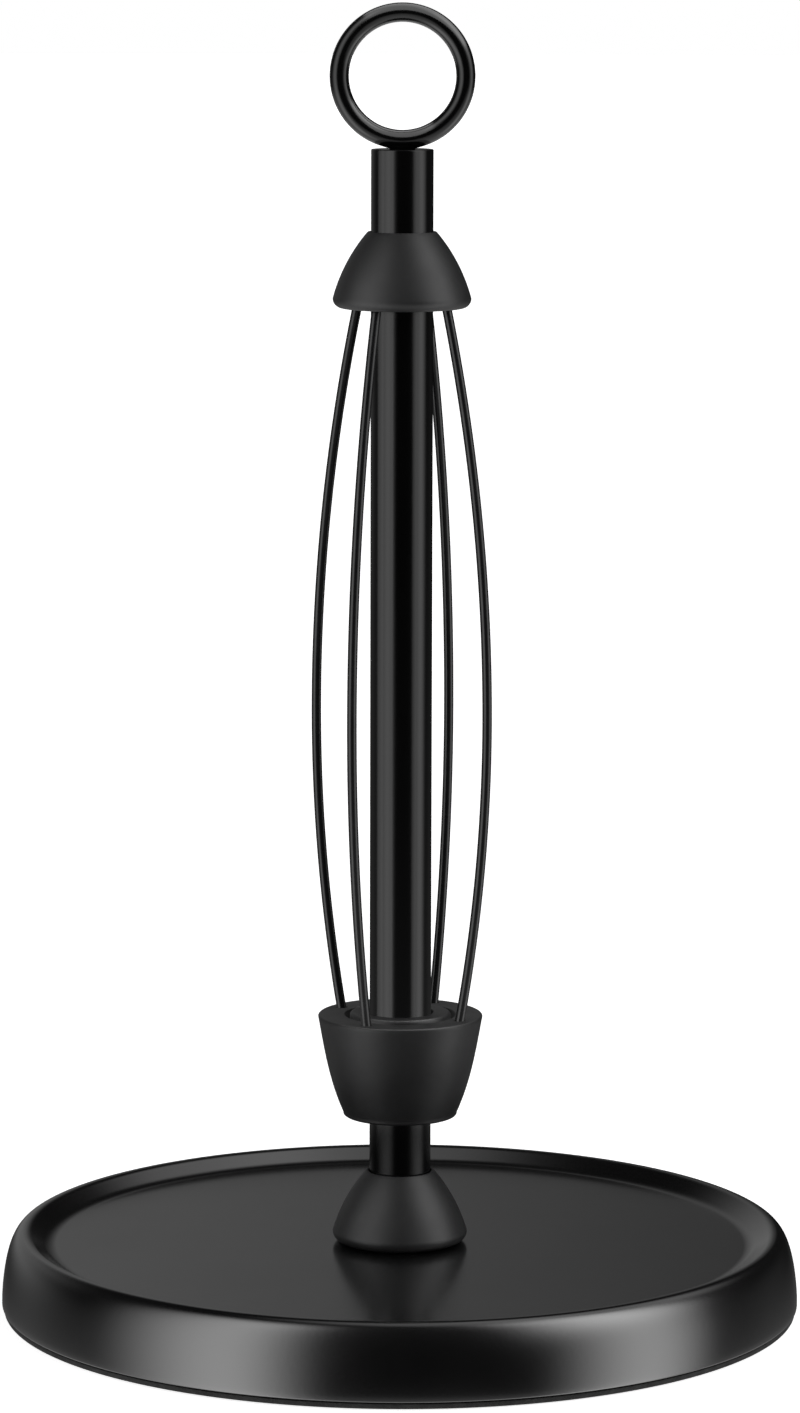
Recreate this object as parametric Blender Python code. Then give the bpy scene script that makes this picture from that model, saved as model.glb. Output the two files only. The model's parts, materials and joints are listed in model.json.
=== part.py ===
"""Counter-top paper towel holder: a weighted round base, a tube post with a finger ring on top,
and a turning cage of four bowed spring wires that grips the cardboard core of the roll.

The post stands on the Z axis, the table is z = 0, and every length is in metres.
"""
from math import atan2, cos, pi, radians, sin, sqrt, tau

import bmesh
import bpy
from mathutils import Vector

# ---------------------------------------------------------------- driving dimensions
GAP = 0.0003                      # clearance kept between pieces that touch

BASE_RADIUS = 0.09772             # widest point of the pressed base cover
BASE_RIM_RADIUS = 0.09223         # where the outer shoulder levels out at the crest of the rim
BASE_RIM_HEIGHT = 0.0195
BASE_SLOPE_TOP = 0.09107          # corners of the slope inside the rim, before rounding
BASE_SLOPE_FOOT = 0.08604
BASE_FLOOR_HEIGHT = 0.0162        # flat floor that the paper roll stands on
FOOT_SEAT_RADIUS = 0.0172         # coined recess that centres the foot
FOOT_SEAT_DEPTH = 0.00005
BASE_SHEET = 0.0012               # thickness of the pressed steel
PAD_RADIUS = 0.0972
PAD_THICKNESS = 0.0013
PLATE_RADIUS = 0.0959
PLATE_THICKNESS = 0.0014
PLATE_HOLE_RADIUS = 0.012         # way in to the post bolt
WEIGHT_RADIUS = 0.086
WEIGHT_THICKNESS = 0.0045
SCREW_CIRCLE_RADIUS = 0.070
SCREW_RADIUS = 0.0016
SCREW_HEAD_RADIUS = 0.0030
SCREW_TIP = 0.0095

POST_RADIUS = 0.0075
POST_BORE_RADIUS = 0.0063
POST_TOP = 0.2836
INSERT_RADIUS = POST_BORE_RADIUS - GAP
BOLT_RADIUS = 0.0030
BOLT_HOLE_RADIUS = 0.0034
BOLT_HEAD_RADIUS = 0.00525
BOLT_HEAD = (0.0008, 0.0038)          # bottom and top of the head
BOLT_TIP = 0.0340

RING_RADIUS = 0.01513             # centreline of the finger ring
RING_WIRE_RADIUS = 0.00232
RING_CENTRE = 0.3010
RING_NECK_LENGTH = 0.00385        # half length and half thickness of the neck under the ring
RING_NECK_THICKNESS = 0.0019

BELL_TOP_RADIUS = 0.00854         # the foot and the top collar share one bell shape
BELL_SIDE_ARC = 0.0407
BELL_LIP_FILLET = 0.0023
FOOT_TOP = 0.0339
FOOT_LIP_RADIUS = 0.0165
COLLAR_LIP_RADIUS = 0.01669
COLLAR_BOTTOM = 0.2456
COLLAR_TOP = 0.2639
RETAINER_RADIUS = 0.0140          # socket disc inside the collar
RETAINER_BOTTOM = 0.2460
RETAINER_TOP = 0.2503
BUSH_RADIUS = 0.0096
BUSH_TOP = 0.2612

CUP_BOTTOM = 0.0478
CUP_TOP = 0.07295
CUP_TOP_RADIUS = 0.0201
CUP_BOTTOM_RADIUS = 0.0139
CUP_FLARE_LOW = (0.0175, 0.0566)      # pull points of the curve of its side
CUP_FLARE_HIGH = (0.01866, 0.0646)
CUP_CAVITY_RADIUS = 0.0135
CUP_WEB_BOTTOM = 0.0508           # web that turns on the hub
CUP_WEB_TOP = 0.0530

WIRE_RADIUS = 0.00118
WIRE_COUNT = 4
WIRE_AZIMUTH = -radians(29.56)    # first wire, to the front right
BOW_RADIUS = 0.02383              # widest point of the wire cage
BOW_HEIGHT = 0.1465
BOW_CURVE_LOW = 1.327             # curvature of the bow, per metre, below its widest point
BOW_CURVE_HIGH = 1.165            # and above it
WIRE_BEND_DEPTH = 0.0006          # the wire turns straight just inside its socket
WIRE_BOTTOM = 0.0671
WIRE_TOP = 0.2522
SOCKET_RADIUS = WIRE_RADIUS + GAP

HUB_BORE_RADIUS = POST_RADIUS + GAP
HUB_JOURNAL_RADIUS = 0.0098
HUB_CORE_RADIUS = 0.0087
HUB_FLANGE_RADIUS = 0.0112
HUB_LOW_FLANGE = (0.0534, 0.0552)     # bottom and top of the flange under the pawls
HUB_HIGH_FLANGE = (0.0620, 0.0636)    # and of the one over them
HUB_PIN_HEIGHT = 0.0670
HUB_CAP_TOP = 0.07355             # stands a little proud of the cup
HUB_PIN_RADIUS = 0.0010
HUB_PIN_LENGTH = 0.0184
HUB_PIN_CUT = 0.012               # half length of the hole drilled for it

TOOTH_COUNT = 24
TOOTH_TIP_RADIUS = 0.0115
TOOTH_ROOT_RADIUS = 0.01245
TOOTH_PHASE = radians(1.5)
PAWL_COUNT = 2
PAWL_PIVOT_RADIUS = 0.0099
PAWL_TIP_RADIUS = 0.01205
PAWL_REACH = radians(30)          # angle from the pivot to the tip, seen from the post
TRUNNION_RADIUS = 0.0007
TRUNNION_HOLE_RADIUS = 0.0009

CREASE = radians(35)              # edges sharper than this stay sharp
ROUND_LARGE = 56                  # sides of the base pieces
ROUND_MEDIUM = 32                 # sides of the cup, collar and foot
ROUND_SMALL = 24                  # sides of the post and the pieces on it
ROUND_TINY = 12                   # sides of fasteners and holes


# ---------------------------------------------------------------- modelling helpers
def make_material(name, colour, roughness, metallic):
    """Plain Principled material in the piece's own colour."""
    material = bpy.data.materials.new(name)
    material.use_nodes = True
    shader = material.node_tree.nodes["Principled BSDF"]
    shader.inputs["Base Color"].default_value = (*colour, 1.0)
    shader.inputs["Roughness"].default_value = roughness
    shader.inputs["Metallic"].default_value = metallic
    return material


def add_object(name, data, parent, look):
    """Link new object data into the scene under a parent empty, with its own material."""
    piece = bpy.data.objects.new(name, data)
    bpy.context.scene.collection.objects.link(piece)
    piece.parent = parent
    if parent is not None:
        piece.location = -parent.location
    if look is not None:
        data.materials.append(make_material(name + "_finish", *look))
    return piece


def body_empty(name, place):
    """Parent empty of one body, on its joint's axis."""
    empty = bpy.data.objects.new(name, None)
    empty.location = place
    bpy.context.scene.collection.objects.link(empty)
    return empty


def mesh_from(bm, name):
    """Turn a bmesh into a mesh with outward faces, smooth but for its real edges."""
    bmesh.ops.recalc_face_normals(bm, faces=bm.faces)
    mesh = bpy.data.meshes.new(name)
    bm.to_mesh(mesh)
    bm.free()
    mesh.shade_smooth()
    mesh.set_sharp_from_angle(angle=CREASE)
    return mesh


def turn(bm, outline, sides, centre=(0.0, 0.0)):
    """Spin a closed outline of (radius, height) points round a vertical axis."""
    x, y = centre
    points = [bm.verts.new((x + radius, y, height)) for radius, height in outline]
    edges = [bm.edges.new((points[i - 1], points[i])) for i in range(len(points))
             if max(outline[i - 1][0], outline[i][0]) > 0.0]
    bmesh.ops.spin(bm, geom=points + edges, cent=(x, y, 0.0), axis=(0.0, 0.0, 1.0),
                   angle=tau, steps=sides, use_merge=True)
    bmesh.ops.remove_doubles(bm, verts=bm.verts, dist=1e-7)


def turned_piece(name, outline, sides, parent, look):
    bm = bmesh.new()
    turn(bm, outline, sides)
    return add_object(name, mesh_from(bm, name), parent, look)


def extruded_piece(name, outline, low, high, parent, look):
    """Raise a closed flat outline of (x, y) points from one height to another."""
    bm = bmesh.new()
    floor = bm.faces.new([bm.verts.new((x, y, low)) for x, y in outline])
    raised = bmesh.ops.extrude_face_region(bm, geom=[floor])["geom"]
    for vert in raised:
        if isinstance(vert, bmesh.types.BMVert):
            vert.co.z = high
    return add_object(name, mesh_from(bm, name), parent, look)


def combine(piece, tool, operation):
    """Join a hidden tool body to a piece, or cut the piece with it."""
    tool.hide_render = True
    tool.display_type = "WIRE"
    modifier = piece.modifiers.new(tool.name, "BOOLEAN")
    modifier.operation = operation
    modifier.solver = "EXACT"
    modifier.object = tool


def drill(piece, label, places, outline):
    """Cut the same turned hole at each (x, y) place."""
    bm = bmesh.new()
    for place in places:
        turn(bm, outline, ROUND_TINY, place)
    tool = add_object(label + "_cutter", mesh_from(bm, label + "_cutter"), None, None)
    combine(piece, tool, "DIFFERENCE")


def rod(radius, low, high):
    """Outline of a solid round bar."""
    return [(0.0, low), (radius, low), (radius, high), (0.0, high)]


def sleeve(inner, outer, low, high):
    """Outline of a plain tube or washer."""
    return [(inner, low), (outer, low), (outer, high), (inner, high)]


def polar(radius, angle):
    return (radius * cos(angle), radius * sin(angle))


def arc(centre, radius, start, end, steps):
    """Points along a circular arc, with the angles in degrees."""
    angles = [radians(start + (end - start) * i / steps) for i in range(steps + 1)]
    return [(centre[0] + radius * cos(a), centre[1] + radius * sin(a)) for a in angles]


def bezier(p0, p1, p2, p3, steps):
    """Points along a cubic Bezier curve, both ends included."""
    points = []
    for i in range(steps + 1):
        t = i / steps
        weights = ((1 - t) ** 3, 3 * t * (1 - t) ** 2, 3 * t * t * (1 - t), t ** 3)
        points.append(tuple(sum(w * p[axis] for w, p in zip(weights, (p0, p1, p2, p3)))
                            for axis in (0, 1)))
    return points


def round_corner(before, corner, after, fillet, steps):
    """Arc that rounds one corner of an outline."""
    corner = Vector(corner)
    back = (Vector(before) - corner).normalized()
    ahead = (Vector(after) - corner).normalized()
    half = back.angle(ahead) / 2
    centre = corner + (back + ahead).normalized() * fillet / sin(half)
    first = corner + back * fillet * cos(half) / sin(half) - centre
    last = corner + ahead * fillet * cos(half) / sin(half) - centre
    start, swing = atan2(first.y, first.x), -first.angle_signed(last)
    return [(centre.x + fillet * cos(start + swing * i / steps),
             centre.y + fillet * sin(start + swing * i / steps)) for i in range(steps + 1)]


def offset_line(points, distance):
    """Shift an open line sideways, to its left, by a distance."""
    shifted = []
    for i, point in enumerate(points):
        before = Vector(points[max(i - 1, 0)])
        after = Vector(points[min(i + 1, len(points) - 1)])
        along = (after - before).normalized()
        shifted.append((point[0] - along.y * distance, point[1] + along.x * distance))
    return shifted


def split_ring(inner, outer, opening, sides):
    """Flat outline of a ring with a gap of the given angle."""
    start, end = opening / 2, tau - opening / 2
    angles = [start + (end - start) * i / sides for i in range(sides + 1)]
    return [polar(outer, a) for a in angles] + [polar(inner, a) for a in reversed(angles)]


def bell_side(lip_radius, low, high, steps):
    """Outer line of a bell: rounded lip, then one long convex arc up to its small top."""
    lip = arc((lip_radius - BELL_LIP_FILLET, low + BELL_LIP_FILLET), BELL_LIP_FILLET, -90, 0, 3)
    start, end = Vector(lip[-1]), Vector((BELL_TOP_RADIUS, high))
    chord = end - start
    middle = (start + end) / 2
    reach = sqrt(BELL_SIDE_ARC ** 2 - (chord.length / 2) ** 2)
    centre = middle + Vector((-chord.y, chord.x)).normalized() * reach
    first = (start - centre).angle_signed(Vector((1, 0)))
    last = (end - centre).angle_signed(Vector((1, 0)))
    side = [(centre.x + BELL_SIDE_ARC * cos(first + (last - first) * i / steps),
             centre.y + BELL_SIDE_ARC * sin(first + (last - first) * i / steps))
            for i in range(1, steps + 1)]
    return lip + side


def bow_radius(height):
    """Distance of the cage wires' centreline from the post."""
    curve = BOW_CURVE_HIGH if height > BOW_HEIGHT else BOW_CURVE_LOW
    return BOW_RADIUS - curve * (height - BOW_HEIGHT) ** 2


# ---------------------------------------------------------------- colours
BLACK_PAINT = ((0.012, 0.012, 0.013), 0.38, 0.0)
GLOSS_BLACK = ((0.008, 0.008, 0.009), 0.12, 0.0)
SOFT_TOUCH = ((0.016, 0.016, 0.017), 0.55, 0.0)
BLACK_WIRE = ((0.010, 0.010, 0.011), 0.22, 0.3)
RUBBER = ((0.014, 0.014, 0.014), 0.85, 0.0)
CAST_IRON = ((0.09, 0.09, 0.095), 0.75, 0.9)
STEEL = ((0.55, 0.56, 0.58), 0.30, 1.0)
NYLON = ((0.78, 0.77, 0.72), 0.50, 0.0)


# ---------------------------------------------------------------- base
PLATE_BOTTOM = PAD_THICKNESS + GAP
WEIGHT_TOP = BASE_FLOOR_HEIGHT - BASE_SHEET - GAP
WEIGHT_BOTTOM = WEIGHT_TOP - WEIGHT_THICKNESS
RIB_BOTTOM = PLATE_BOTTOM + PLATE_THICKNESS + GAP
BOSS_BOTTOM = 0.0072
SCREW_PLACES = [polar(SCREW_CIRCLE_RADIUS, radians(45 + 90 * i)) for i in range(4)]


def base_cover(stand):
    """Pressed steel dish: upright side, rounded shoulder, crest, and slope to a flat floor."""
    side_top, side_pull, crest_pull = 0.0030, 0.0020, 0.0047
    crest_fillet, floor_fillet = 0.0030, 0.0056
    crest = (BASE_RIM_RADIUS, BASE_RIM_HEIGHT)
    shoulder = bezier((BASE_RADIUS, side_top), (BASE_RADIUS, side_top + side_pull),
                      (BASE_RIM_RADIUS + crest_pull, BASE_RIM_HEIGHT), crest, 6)
    slope_top = (BASE_SLOPE_TOP, BASE_RIM_HEIGHT)
    slope_foot = (BASE_SLOPE_FOOT, BASE_FLOOR_HEIGHT)
    foot_edge = (FOOT_SEAT_RADIUS, BASE_FLOOR_HEIGHT)
    skin = ([(BASE_RADIUS, PLATE_BOTTOM)] + shoulder
            + round_corner(crest, slope_top, slope_foot, crest_fillet, 3)
            + round_corner(slope_top, slope_foot, foot_edge, floor_fillet, 3))
    inside = offset_line(skin, BASE_SHEET)
    foot_seat = BASE_FLOOR_HEIGHT - FOOT_SEAT_DEPTH
    outline = (skin + [foot_edge, (FOOT_SEAT_RADIUS - FOOT_SEAT_DEPTH, foot_seat),
                       (BOLT_HOLE_RADIUS, foot_seat),
                       (BOLT_HOLE_RADIUS, BASE_FLOOR_HEIGHT - BASE_SHEET)]
               + list(reversed(inside)))
    turned_piece("base_cover", outline, ROUND_LARGE, stand, BLACK_PAINT)


def base_weight(stand):
    """Cast disc under the floor, with a centre boss for the bolt and a ring rib for the screws."""
    boss, rib_inner, rib_outer = 0.016, 0.066, 0.074
    draft, edge, pilot_top = 0.001, 0.002, 0.0103
    outline = [(BOLT_HOLE_RADIUS, BOSS_BOTTOM), (boss, BOSS_BOTTOM),
               (boss + draft, WEIGHT_BOTTOM), (rib_inner - draft, WEIGHT_BOTTOM),
               (rib_inner, RIB_BOTTOM), (rib_outer, RIB_BOTTOM),
               (rib_outer + draft, WEIGHT_BOTTOM), (WEIGHT_RADIUS - edge, WEIGHT_BOTTOM),
               (WEIGHT_RADIUS, WEIGHT_BOTTOM + edge), (WEIGHT_RADIUS - draft, WEIGHT_TOP),
               (BOLT_HOLE_RADIUS, WEIGHT_TOP)]
    weight = turned_piece("base_weight", outline, ROUND_MEDIUM, stand, CAST_IRON)
    drill(weight, "screw_pilot", SCREW_PLACES, rod(SCREW_RADIUS + GAP, 0.0, pilot_top))


def base_plate(stand):
    """Flat closing plate with four countersunk screw holes."""
    top, overshoot = PLATE_BOTTOM + PLATE_THICKNESS, 0.001
    plate = turned_piece("base_plate", sleeve(PLATE_HOLE_RADIUS, PLATE_RADIUS, PLATE_BOTTOM, top),
                         ROUND_LARGE, stand, BLACK_PAINT)
    mouth, shank = SCREW_HEAD_RADIUS + GAP, SCREW_RADIUS + GAP
    below, above = PLATE_BOTTOM - overshoot, top + overshoot
    countersink = [(0.0, below), (mouth + GAP, below), (mouth, PLATE_BOTTOM), (shank, top),
                   (shank, above), (0.0, above)]
    drill(plate, "countersink", SCREW_PLACES, countersink)


def base_screws(stand):
    """Four countersunk screws that hold the plate to the weight."""
    head_low, head_high = PLATE_BOTTOM + 0.0001, PLATE_BOTTOM + PLATE_THICKNESS
    point, point_radius = 0.001, 0.0008
    outline = [(0.0, head_low), (SCREW_HEAD_RADIUS, head_low), (SCREW_RADIUS, head_high),
               (SCREW_RADIUS, SCREW_TIP - point), (point_radius, SCREW_TIP), (0.0, SCREW_TIP)]
    for number, place in enumerate(SCREW_PLACES, start=1):
        name = f"base_screw_{number}"
        bm = bmesh.new()
        turn(bm, outline, ROUND_TINY, place)
        add_object(name, mesh_from(bm, name), stand, STEEL)


def non_slip_pad(stand):
    """Full disc of foam rubber, the only piece that touches the table."""
    hole, edge = 0.014, 0.0003
    outline = [(hole, 0.0), (PAD_RADIUS - edge, 0.0), (PAD_RADIUS, edge),
               (PAD_RADIUS, PAD_THICKNESS), (hole, PAD_THICKNESS)]
    turned_piece("non_slip_pad", outline, ROUND_LARGE, stand, RUBBER)


# ---------------------------------------------------------------- post and its fixings
def post_bolt(stand):
    """Button-head socket bolt, up through the base into the post's threaded insert."""
    low, high = BOLT_HEAD
    crown_radius, shoulder, point, point_radius = 0.0032, 0.001, 0.001, 0.0022
    hex_radius, hex_depth = 0.0023, 0.0018
    outline = [(0.0, low), (crown_radius, low), (BOLT_HEAD_RADIUS, high - shoulder),
               (BOLT_HEAD_RADIUS, high), (BOLT_RADIUS, high), (BOLT_RADIUS, BOLT_TIP - point),
               (point_radius, BOLT_TIP), (0.0, BOLT_TIP)]
    bolt = turned_piece("post_bolt", outline, ROUND_SMALL, stand, STEEL)
    hexagon = [polar(hex_radius, tau * i / 6) for i in range(6)]
    socket = extruded_piece("hex_socket_cutter", hexagon, 0.0, low + hex_depth, None, None)
    combine(bolt, socket, "DIFFERENCE")


def bolt_washers(stand):
    """Flat washer against the weight, and a split lock washer under it on the bolt head."""
    bore = BOLT_RADIUS + GAP
    flat_radius, flat_low, flat_high = 0.0080, 0.0057, 0.0069
    lock_radius, lock_low, lock_high = 0.0053, 0.0041, 0.0054
    turned_piece("bolt_washer", sleeve(bore, flat_radius, flat_low, flat_high),
                 ROUND_SMALL, stand, STEEL)
    extruded_piece("lock_washer", split_ring(bore, lock_radius, radians(8), 20),
                   lock_low, lock_high, stand, STEEL)


def post_inserts(stand):
    """Threaded plugs pressed into the two ends of the tube."""
    bore, lower_top, upper_low, recess = BOLT_RADIUS + GAP, 0.0380, 0.2680, 0.0001
    turned_piece("post_lower_insert",
                 sleeve(bore, INSERT_RADIUS, BASE_FLOOR_HEIGHT + GAP, lower_top),
                 ROUND_SMALL, stand, STEEL)
    turned_piece("post_top_plug", sleeve(bore, INSERT_RADIUS, upper_low, POST_TOP - recess),
                 ROUND_SMALL, stand, STEEL)


def cross_bar(name, radius, half_length, parent, look):
    """Round bar along X at the height of the hub pin."""
    bm = bmesh.new()
    turn(bm, rod(radius, -half_length, half_length), ROUND_TINY)
    for vert in bm.verts:
        vert.co = (vert.co.z, vert.co.y, HUB_PIN_HEIGHT - vert.co.x)
    return add_object(name, mesh_from(bm, name), parent, look)


def pin_hole(piece, label):
    """Drill the cross hole for the hub pin."""
    combine(piece, cross_bar(label, HUB_PIN_RADIUS + GAP, HUB_PIN_CUT, None, None), "DIFFERENCE")


def post_tube(stand):
    """Straight tube, cross-drilled for the pin that holds the hub."""
    outline = sleeve(POST_BORE_RADIUS, POST_RADIUS, BASE_FLOOR_HEIGHT + GAP, POST_TOP)
    tube = turned_piece("post_tube", outline, ROUND_SMALL, stand, GLOSS_BLACK)
    pin_hole(tube, "tube_pin_cutter")


def post_foot(stand):
    """Bell-shaped cover round the bottom of the post, hollow underneath."""
    low = BASE_FLOOR_HEIGHT + GAP
    bore, neck_bottom = HUB_BORE_RADIUS, 0.0295
    hollow_low, hollow_high, hollow_shoulder = 0.0138, 0.0092, 0.0205
    outline = (bell_side(FOOT_LIP_RADIUS, low, FOOT_TOP, 7)
               + [(bore, FOOT_TOP), (bore, neck_bottom), (hollow_high, neck_bottom),
                  (hollow_low, hollow_shoulder), (hollow_low, low)])
    turned_piece("post_foot", outline, ROUND_MEDIUM, stand, SOFT_TOUCH)


def finial_neck():
    """Flattened neck and round threaded stud that carry the finger ring."""
    low, stud_end = POST_TOP + GAP, 0.2720
    top, top_radius = RING_CENTRE - RING_RADIUS, 0.0021
    flare, flare_radius = 0.0006, 0.92 * RING_NECK_LENGTH
    bm = bmesh.new()
    turn(bm, [(0.0, stud_end), (BOLT_RADIUS, stud_end), (BOLT_RADIUS, low), (RING_NECK_LENGTH, low),
              (flare_radius, low + flare), (top_radius, top), (0.0, top)], ROUND_TINY)
    for vert in bm.verts:
        if vert.co.z > POST_TOP:
            vert.co.y *= RING_NECK_THICKNESS / RING_NECK_LENGTH
    return add_object("finial_neck_tool", mesh_from(bm, "finial_neck"), None, None)


def ring_finial(stand):
    """Finger ring standing across the post's top, with its neck and threaded stud."""
    sides = 12
    section = arc((RING_RADIUS, 0.0), RING_WIRE_RADIUS, 0, 360 - 360 / sides, sides - 1)
    bm = bmesh.new()
    turn(bm, section, ROUND_MEDIUM)
    for vert in bm.verts:
        vert.co = (vert.co.x, -vert.co.z, RING_CENTRE + vert.co.y)
    ring = add_object("ring_finial", mesh_from(bm, "ring_finial"), stand, GLOSS_BLACK)
    combine(ring, finial_neck(), "UNION")


# ---------------------------------------------------------------- ratchet hub, fixed to the post
def pawl_angle(number):
    return tau * number / PAWL_COUNT


def ratchet_hub(stand):
    """Spool on the post: journal for the cup, clip groove, and two flanges that hold the pawls."""
    low, high, neck_radius = 0.0479, 0.0702, 0.0095
    groove_low, groove_high, groove_radius = 0.0485, 0.0499, 0.0092
    (under_low, under_high), (over_low, over_high) = HUB_LOW_FLANGE, HUB_HIGH_FLANGE
    outline = [(HUB_BORE_RADIUS, low), (HUB_JOURNAL_RADIUS, low),
               (HUB_JOURNAL_RADIUS, groove_low), (groove_radius, groove_low),
               (groove_radius, groove_high), (HUB_JOURNAL_RADIUS, groove_high),
               (HUB_JOURNAL_RADIUS, under_low), (HUB_FLANGE_RADIUS, under_low),
               (HUB_FLANGE_RADIUS, under_high), (HUB_CORE_RADIUS, under_high),
               (HUB_CORE_RADIUS, over_low), (HUB_FLANGE_RADIUS, over_low),
               (HUB_FLANGE_RADIUS, over_high), (neck_radius, over_high),
               (neck_radius, high), (HUB_BORE_RADIUS, high)]
    hub = turned_piece("ratchet_hub", outline, ROUND_SMALL, stand, NYLON)
    pivots = [polar(PAWL_PIVOT_RADIUS, pawl_angle(n)) for n in range(PAWL_COUNT)]
    drill(hub, "trunnion_hole", pivots,
          rod(TRUNNION_HOLE_RADIUS, under_low + GAP, over_high - GAP))
    pin_hole(hub, "hub_pin_cutter")


def hub_fixings(stand):
    """Cap over the hub, cross pin, thrust washer and spring clip that carry the cage."""
    cap_low, cap_inner, cap_outer, fillet, break_edge = 0.0705, 0.00805, 0.01235, 0.0008, 0.0002
    cap = ([(cap_inner, cap_low), (cap_outer, cap_low)]
           + arc((cap_outer - fillet, HUB_CAP_TOP - fillet), fillet, 0, 90, 3)
           + [(cap_inner + break_edge, HUB_CAP_TOP), (cap_inner, HUB_CAP_TOP - break_edge)])
    turned_piece("hub_cap", cap, ROUND_MEDIUM, stand, SOFT_TOUCH)
    cross_bar("hub_pin", HUB_PIN_RADIUS, HUB_PIN_LENGTH / 2, stand, STEEL)
    washer_radius, washer_low, washer_high = 0.0117, 0.0499, 0.0505
    turned_piece("thrust_washer",
                 sleeve(HUB_JOURNAL_RADIUS + GAP, washer_radius, washer_low, washer_high),
                 ROUND_SMALL, stand, NYLON)
    clip_inner, clip_outer, clip_low, clip_high = 0.0095, 0.0115, 0.0488, 0.0496
    extruded_piece("retaining_ring", split_ring(clip_inner, clip_outer, radians(40), 20),
                   clip_low, clip_high, stand, STEEL)


def pawl_springs(stand):
    """Leaf springs that lie on the hub's core and press outward under each pawl's tip."""
    thickness, low, high, steps = 0.0002, 0.0570, 0.0602, 8
    seat_radius, lift = HUB_CORE_RADIUS + GAP, 0.00085
    seat_angle, free_angle = radians(56), radians(24)
    for number in range(PAWL_COUNT):
        line = []
        for i in range(steps + 1):
            t = i / steps
            line.append(polar(seat_radius + lift * t * t,
                              pawl_angle(number) + seat_angle + (free_angle - seat_angle) * t))
        outline = line + list(reversed(offset_line(line, thickness)))
        extruded_piece(f"pawl_spring_{number + 1}", outline, low, high, stand, STEEL)


# ---------------------------------------------------------------- pawls
def pawl(number):
    """Arm on its own trunnions, reaching into a tooth gap of the ring around it."""
    boss_radius, boss_steps = 0.0009, 8
    tip_inner_radius, tip_inner_angle = 0.0108, radians(28.5)
    trunnion_low, trunnion_high = HUB_LOW_FLANGE[0] + 2 * GAP, HUB_HIGH_FLANGE[1] - 2 * GAP
    name = f"pawl_{number + 1}"
    angle = pawl_angle(number)
    pivot = polar(PAWL_PIVOT_RADIUS, angle)
    joint = body_empty(name + "_pivot", (*pivot, HUB_LOW_FLANGE[1]))
    boss = [(pivot[0] + boss_radius * cos(pi + angle + pi * i / boss_steps),
             pivot[1] + boss_radius * sin(pi + angle + pi * i / boss_steps))
            for i in range(boss_steps + 1)]
    tip = [polar(PAWL_TIP_RADIUS, PAWL_REACH + angle),
           polar(tip_inner_radius, tip_inner_angle + angle)]
    body = extruded_piece(name, boss + tip, HUB_LOW_FLANGE[1] + GAP, HUB_HIGH_FLANGE[0] - GAP,
                          joint, STEEL)
    bm = bmesh.new()
    turn(bm, rod(TRUNNION_RADIUS, trunnion_low, trunnion_high), ROUND_TINY, pivot)
    trunnion = add_object(name + "_trunnion_tool", mesh_from(bm, name + "_trunnion"), None, None)
    combine(body, trunnion, "UNION")


# ---------------------------------------------------------------- turning cage
def wire_places(radius):
    """The four wires' places on a circle."""
    return [polar(radius, WIRE_AZIMUTH + tau * n / WIRE_COUNT) for n in range(WIRE_COUNT)]


def lower_cup(cage):
    """Flared cup that turns on the hub and carries the wires in its thick wall."""
    fillet, bottom_edge, overshoot = 0.0005, 0.0008, 0.001
    counterbore, journal = 0.0120, HUB_JOURNAL_RADIUS + GAP
    side = bezier((CUP_BOTTOM_RADIUS, CUP_BOTTOM + bottom_edge), CUP_FLARE_LOW, CUP_FLARE_HIGH,
                  (CUP_TOP_RADIUS, CUP_TOP - fillet), 8)
    outline = ([(counterbore, CUP_BOTTOM), (CUP_BOTTOM_RADIUS - bottom_edge, CUP_BOTTOM)] + side
               + arc((CUP_TOP_RADIUS - fillet, CUP_TOP - fillet), fillet, 30, 90, 2)
               + [(CUP_CAVITY_RADIUS, CUP_TOP), (CUP_CAVITY_RADIUS, CUP_WEB_TOP),
                  (journal, CUP_WEB_TOP), (journal, CUP_WEB_BOTTOM),
                  (counterbore, CUP_WEB_BOTTOM)])
    cup = turned_piece("lower_cup", outline, ROUND_MEDIUM, cage, SOFT_TOUCH)
    drill(cup, "cup_socket", wire_places(bow_radius(CUP_TOP - WIRE_BEND_DEPTH)),
          rod(SOCKET_RADIUS, WIRE_BOTTOM - GAP, CUP_TOP + overshoot))


def ratchet_ring(cage):
    """Ring pressed into the cup, with saw teeth on its inside."""
    low, high = CUP_WEB_TOP + GAP, 0.0625
    pitch = tau / TOOTH_COUNT
    ramp = 0.96 * pitch
    outer_radius = CUP_CAVITY_RADIUS - GAP
    inner, outer = [], []
    for number in range(TOOTH_COUNT):
        start = TOOTH_PHASE + number * pitch
        for radius, angle in ((TOOTH_TIP_RADIUS, start), (TOOTH_ROOT_RADIUS, start + ramp)):
            inner.append(polar(radius, angle))
            outer.append(polar(outer_radius, angle))
    bm = bmesh.new()
    loops = [[bm.verts.new((x, y, height)) for x, y in line]
             for line, height in ((inner, low), (outer, low), (outer, high), (inner, high))]
    for lower, upper in zip(loops, loops[1:] + loops[:1]):
        for i in range(len(inner)):
            bm.faces.new((lower[i - 1], lower[i], upper[i], upper[i - 1]))
    add_object("ratchet_ring", mesh_from(bm, "ratchet_ring"), cage, NYLON)


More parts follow.
